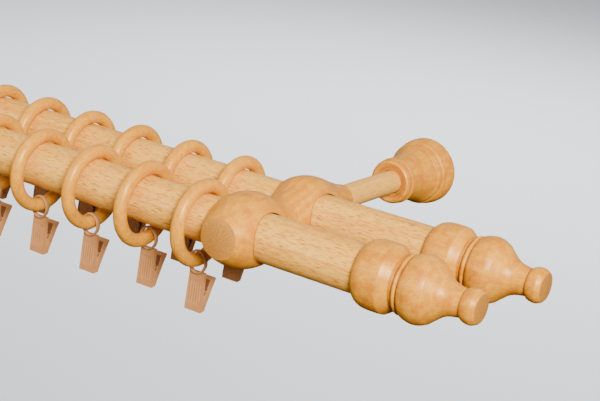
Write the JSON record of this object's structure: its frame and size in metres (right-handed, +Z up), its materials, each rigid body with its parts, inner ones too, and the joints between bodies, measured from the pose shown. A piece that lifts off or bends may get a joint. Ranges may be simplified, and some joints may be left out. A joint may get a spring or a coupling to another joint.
{
  "type": "double wooden curtain rod",
  "caption": "Double curtain rod of beech dowels on two turned wall brackets, with turned finials and wooden rings that carry sprung curtain clips.",
  "frame": {"origin": "on the wall plane, midway between the two wall rosettes, at the height of the rods' axes", "axes": "+X along the rods to the right as seen from the room, +Y into the wall, +Z up"},
  "size_m": [1.1058, 0.2648, 0.0798],
  "materials": {
    "rod_beech": "satin lacquer over straight grained beech",
    "turned_beech": "satin lacquer over turned beech",
    "stem_beech": "satin lacquer over paler beech",
    "ring_beech": "satin lacquer over turned beech",
    "clip_plastic": "pinkish beige moulded plastic",
    "zinc_steel": "zinc plated",
    "plug_plastic": "grey nylon"
  },
  "bodies": {
    "rods_and_brackets": {"front_rod": "rod_beech", "back_rod": "rod_beech", "left_front_holder": "turned_beech", "left_back_holder": "turned_beech", "left_joining_screw": "zinc_steel", "left_front_lock_screw": "zinc_steel", "left_back_lock_screw": "zinc_steel", "left_stem": "stem_beech", "left_hanger_screw": "zinc_steel", "left_wall_rosette": "turned_beech", "left_wall_plug": "plug_plastic", "right_front_holder": "turned_beech", "right_back_holder": "turned_beech", "right_joining_screw": "zinc_steel", "right_front_lock_screw": "zinc_steel", "right_back_lock_screw": "zinc_steel", "right_stem": "stem_beech", "right_hanger_screw": "zinc_steel", "right_wall_rosette": "turned_beech", "right_wall_plug": "plug_plastic"},
    "left_front_finial": {"left_front_finial": "turned_beech"},
    "left_back_finial": {"left_back_finial": "turned_beech"},
    "right_front_finial": {"right_front_finial": "turned_beech"},
    "right_back_finial": {"right_back_finial": "turned_beech"},
    "front_ring_1": {"front_ring_1": "ring_beech"},
    "front_clip_1": {"front_clip_1": "clip_plastic"},
    "front_clip_lever_1": {"front_clip_lever_1": "clip_plastic"},
    "front_ring_2": {"front_ring_2": "ring_beech"},
    "front_clip_2": {"front_clip_2": "clip_plastic"},
    "front_clip_lever_2": {"front_clip_lever_2": "clip_plastic"},
    "front_ring_3": {"front_ring_3": "ring_beech"},
    "front_clip_3": {"front_clip_3": "clip_plastic"},
    "front_clip_lever_3": {"front_clip_lever_3": "clip_plastic"},
    "front_ring_4": {"front_ring_4": "ring_beech"},
    "front_clip_4": {"front_clip_4": "clip_plastic"},
    "front_clip_lever_4": {"front_clip_lever_4": "clip_plastic"},
    "front_ring_5": {"front_ring_5": "ring_beech"},
    "front_clip_5": {"front_clip_5": "clip_plastic"},
    "front_clip_lever_5": {"front_clip_lever_5": "clip_plastic"},
    "back_ring_1": {"back_ring_1": "ring_beech"},
    "back_clip_1": {"back_clip_1": "clip_plastic"},
    "back_clip_lever_1": {"back_clip_lever_1": "clip_plastic"},
    "back_ring_2": {"back_ring_2": "ring_beech"},
    "back_clip_2": {"back_clip_2": "clip_plastic"},
    "back_clip_lever_2": {"back_clip_lever_2": "clip_plastic"},
    "back_ring_3": {"back_ring_3": "ring_beech"},
    "back_clip_3": {"back_clip_3": "clip_plastic"},
    "back_clip_lever_3": {"back_clip_lever_3": "clip_plastic"},
    "back_ring_4": {"back_ring_4": "ring_beech"},
    "back_clip_4": {"back_clip_4": "clip_plastic"},
    "back_clip_lever_4": {"back_clip_lever_4": "clip_plastic"},
    "back_ring_5": {"back_ring_5": "ring_beech"},
    "back_clip_5": {"back_clip_5": "clip_plastic"},
    "back_clip_lever_5": {"back_clip_lever_5": "clip_plastic"},
    "back_ring_6": {"back_ring_6": "ring_beech"},
    "back_clip_6": {"back_clip_6": "clip_plastic"},
    "back_clip_lever_6": {"back_clip_lever_6": "clip_plastic"}
  },
  "joints": [
    {"name": "left_front_finial_pull", "type": "slide", "parent": "rods_and_brackets", "child": "left_front_finial", "axis": [-1, 0, 0], "range_m": [0, 0.03]},
    {"name": "left_back_finial_pull", "type": "slide", "parent": "rods_and_brackets", "child": "left_back_finial", "axis": [-1, 0, 0], "range_m": [0, 0.03]},
    {"name": "right_front_finial_pull", "type": "slide", "parent": "rods_and_brackets", "child": "right_front_finial", "axis": [1, 0, 0], "range_m": [0, 0.03]},
    {"name": "right_back_finial_pull", "type": "slide", "parent": "rods_and_brackets", "child": "right_back_finial", "axis": [1, 0, 0], "range_m": [0, 0.03]},
    {"name": "front_ring_1_slide", "type": "slide", "parent": "rods_and_brackets", "child": "front_ring_1", "axis": [1, 0, 0], "range_m": [-0.0125, 0.0065]},
    {"name": "front_clip_1_swing", "type": "hinge", "parent": "front_ring_1", "child": "front_clip_1", "pos_m": [0.3697, -0.212, -0.0256], "axis": [0, 1, 0], "range_deg": [-20, 20]},
    {"name": "front_clip_lever_1_squeeze", "type": "hinge", "parent": "front_clip_1", "child": "front_clip_lever_1", "pos_m": [0.3697, -0.2084, -0.0446], "axis": [1, 0, 0], "range_deg": [0, 14], "stiffness_Nm_per_rad": 0.05},
    {"name": "front_ring_2_slide", "type": "slide", "parent": "rods_and_brackets", "child": "front_ring_2", "axis": [1, 0, 0], "range_m": [-0.0125, 0.0125]},
    {"name": "front_clip_2_swing", "type": "hinge", "parent": "front_ring_2", "child": "front_clip_2", "pos_m": [0.328, -0.20594, -0.02415], "axis": [0, 1, 0], "range_deg": [-20, 20]},
    {"name": "front_clip_lever_2_squeeze", "type": "hinge", "parent": "front_clip_2", "child": "front_clip_lever_2", "pos_m": [0.328, -0.20234, -0.04315], "axis": [1, 0, 0], "range_deg": [0, 14], "stiffness_Nm_per_rad": 0.05},
    {"name": "front_ring_3_slide", "type": "slide", "parent": "rods_and_brackets", "child": "front_ring_3", "axis": [1, 0, 0], "range_m": [-0.0125, 0.0125]},
    {"name": "front_clip_3_swing", "type": "hinge", "parent": "front_ring_3", "child": "front_clip_3", "pos_m": [0.288, -0.212, -0.0256], "axis": [0, 1, 0], "range_deg": [-20, 20]},
    {"name": "front_clip_lever_3_squeeze", "type": "hinge", "parent": "front_clip_3", "child": "front_clip_lever_3", "pos_m": [0.288, -0.2084, -0.0446], "axis": [1, 0, 0], "range_deg": [0, 14], "stiffness_Nm_per_rad": 0.05},
    {"name": "front_ring_4_slide", "type": "slide", "parent": "rods_and_brackets", "child": "front_ring_4", "axis": [1, 0, 0], "range_m": [-0.0125, 0.0125]},
    {"name": "front_clip_4_swing", "type": "hinge", "parent": "front_ring_4", "child": "front_clip_4", "pos_m": [0.2465, -0.212, -0.0256], "axis": [0, 1, 0], "range_deg": [-20, 20]},
    {"name": "front_clip_lever_4_squeeze", "type": "hinge", "parent": "front_clip_4", "child": "front_clip_lever_4", "pos_m": [0.2465, -0.2084, -0.0446], "axis": [1, 0, 0], "range_deg": [0, 14], "stiffness_Nm_per_rad": 0.05},
    {"name": "front_ring_5_slide", "type": "slide", "parent": "rods_and_brackets", "child": "front_ring_5", "axis": [1, 0, 0], "range_m": [-0.581, 0.0125]},
    {"name": "front_clip_5_swing", "type": "hinge", "parent": "front_ring_5", "child": "front_clip_5", "pos_m": [0.206, -0.212, -0.0256], "axis": [0, 1, 0], "range_deg": [-20, 20]},
    {"name": "front_clip_lever_5_squeeze", "type": "hinge", "parent": "front_clip_5", "child": "front_clip_lever_5", "pos_m": [0.206, -0.2084, -0.0446], "axis": [1, 0, 0], "range_deg": [0, 14], "stiffness_Nm_per_rad": 0.05},
    {"name": "back_ring_1_slide", "type": "slide", "parent": "rods_and_brackets", "child": "back_ring_1", "axis": [1, 0, 0], "range_m": [-0.0125, 0.022]},
    {"name": "back_clip_1_swing", "type": "hinge", "parent": "back_ring_1", "child": "back_clip_1", "pos_m": [0.353, -0.153, -0.0256], "axis": [0, 1, 0], "range_deg": [-20, 20]},
    {"name": "back_clip_lever_1_squeeze", "type": "hinge", "parent": "back_clip_1", "child": "back_clip_lever_1", "pos_m": [0.353, -0.1494, -0.0446], "axis": [1, 0, 0], "range_deg": [0, 14], "stiffness_Nm_per_rad": 0.05},
    {"name": "back_ring_2_slide", "type": "slide", "parent": "rods_and_brackets", "child": "back_ring_2", "axis": [1, 0, 0], "range_m": [-0.0125, 0.0125]},
    {"name": "back_clip_2_swing", "type": "hinge", "parent": "back_ring_2", "child": "back_clip_2", "pos_m": [0.312, -0.153, -0.0256], "axis": [0, 1, 0], "range_deg": [-20, 20]},
    {"name": "back_clip_lever_2_squeeze", "type": "hinge", "parent": "back_clip_2", "child": "back_clip_lever_2", "pos_m": [0.312, -0.1494, -0.0446], "axis": [1, 0, 0], "range_deg": [0, 14], "stiffness_Nm_per_rad": 0.05},
    {"name": "back_ring_3_slide", "type": "slide", "parent": "rods_and_brackets", "child": "back_ring_3", "axis": [1, 0, 0], "range_m": [-0.0125, 0.0125]},
    {"name": "back_clip_3_swing", "type": "hinge", "parent": "back_ring_3", "child": "back_clip_3", "pos_m": [0.271, -0.153, -0.0256], "axis": [0, 1, 0], "range_deg": [-20, 20]},
    {"name": "back_clip_lever_3_squeeze", "type": "hinge", "parent": "back_clip_3", "child": "back_clip_lever_3", "pos_m": [0.271, -0.1494, -0.0446], "axis": [1, 0, 0], "range_deg": [0, 14], "stiffness_Nm_per_rad": 0.05},
    {"name": "back_ring_4_slide", "type": "slide", "parent": "rods_and_brackets", "child": "back_ring_4", "axis": [1, 0, 0], "range_m": [-0.0125, 0.0125]},
    {"name": "back_clip_4_swing", "type": "hinge", "parent": "back_ring_4", "child": "back_clip_4", "pos_m": [0.231, -0.153, -0.0256], "axis": [0, 1, 0], "range_deg": [-20, 20]},
    {"name": "back_clip_lever_4_squeeze", "type": "hinge", "parent": "back_clip_4", "child": "back_clip_lever_4", "pos_m": [0.231, -0.1494, -0.0446], "axis": [1, 0, 0], "range_deg": [0, 14], "stiffness_Nm_per_rad": 0.05},
    {"name": "back_ring_5_slide", "type": "slide", "parent": "rods_and_brackets", "child": "back_ring_5", "axis": [1, 0, 0], "range_m": [-0.0125, 0.0125]},
    {"name": "back_clip_5_swing", "type": "hinge", "parent": "back_ring_5", "child": "back_clip_5", "pos_m": [0.191, -0.153, -0.0256], "axis": [0, 1, 0], "range_deg": [-20, 20]},
    {"name": "back_clip_lever_5_squeeze", "type": "hinge", "parent": "back_clip_5", "child": "back_clip_lever_5", "pos_m": [0.191, -0.1494, -0.0446], "axis": [1, 0, 0], "range_deg": [0, 14], "stiffness_Nm_per_rad": 0.05},
    {"name": "back_ring_6_slide", "type": "slide", "parent": "rods_and_brackets", "child": "back_ring_6", "axis": [1, 0, 0], "range_m": [-0.527, 0.0125]},
    {"name": "back_clip_6_swing", "type": "hinge", "parent": "back_ring_6", "child": "back_clip_6", "pos_m": [0.152, -0.153, -0.0256], "axis": [0, 1, 0], "range_deg": [-20, 20]},
    {"name": "back_clip_lever_6_squeeze", "type": "hinge", "parent": "back_clip_6", "child": "back_clip_lever_6", "pos_m": [0.152, -0.1494, -0.0446], "axis": [1, 0, 0], "range_deg": [0, 14], "stiffness_Nm_per_rad": 0.05}
  ]
}
